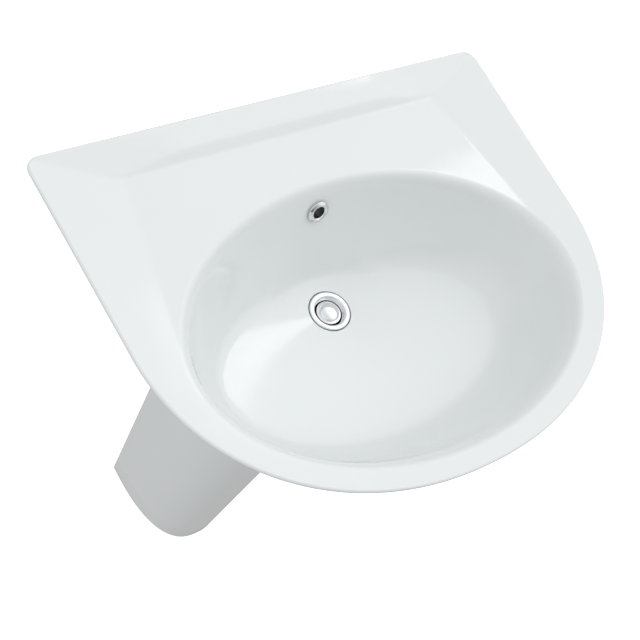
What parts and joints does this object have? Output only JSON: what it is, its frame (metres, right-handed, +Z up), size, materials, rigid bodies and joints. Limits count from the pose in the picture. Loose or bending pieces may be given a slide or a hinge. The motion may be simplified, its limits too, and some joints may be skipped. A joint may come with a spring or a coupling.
{
  "type": "pedestal washbasin",
  "caption": "D-shaped white china washbasin on a full-height pedestal, with an overflow, a push-open waste and a bottle trap behind the pedestal.",
  "frame": {"origin": "on the floor, midway between the wall and the front of the rim, on the centre plane", "axes": "+Z up, +Y towards the wall, -Y towards the user, X along the wall"},
  "size_m": [0.6, 0.476, 0.8196],
  "materials": {
    "china": "glossy white glaze",
    "chrome": "polished plating",
    "brass": "as machined",
    "steel": "zinc plated",
    "rubber": "matte",
    "white_plastic": "moulded",
    "nylon": "moulded"
  },
  "bodies": {
    "sink": {"basin": "china", "pedestal": "china", "overflow_ring": "chrome", "waste_body": "chrome", "plug_spring": "steel", "click_cartridge": "nylon", "waste_top_seal": "rubber", "waste_lower_seal": "rubber", "waste_washer": "nylon", "waste_backnut": "brass", "inlet_seal": "rubber", "inlet_tube": "white_plastic", "inlet_nut": "white_plastic", "neck_nut": "white_plastic", "neck_seal": "rubber", "trap_body": "white_plastic", "trap_cup": "white_plastic", "trap_cup_seal": "rubber", "outlet_pipe": "white_plastic", "outlet_seal": "rubber", "outlet_nut": "white_plastic", "wall_rosette": "chrome", "wall_stud_left": "steel", "wall_sleeve_left": "nylon", "wall_washer_left": "steel", "wall_nut_left": "steel", "floor_screw_left": "steel", "floor_washer_left": "nylon", "wall_stud_right": "steel", "wall_sleeve_right": "nylon", "wall_washer_right": "steel", "wall_nut_right": "steel", "floor_screw_right": "steel", "floor_washer_right": "nylon", "bearing_pad_front": "rubber", "bearing_pad_left": "rubber", "bearing_pad_right": "rubber"},
    "plug": {"plug_cap": "chrome", "plug_seal": "rubber", "plug_stem": "brass"}
  },
  "joints": [
    {"name": "plug_lift", "type": "slide", "parent": "sink", "child": "plug", "axis": [0, 0, 1], "range_m": [0, 0.009], "deforming": ["plug_spring"]}
  ]
}
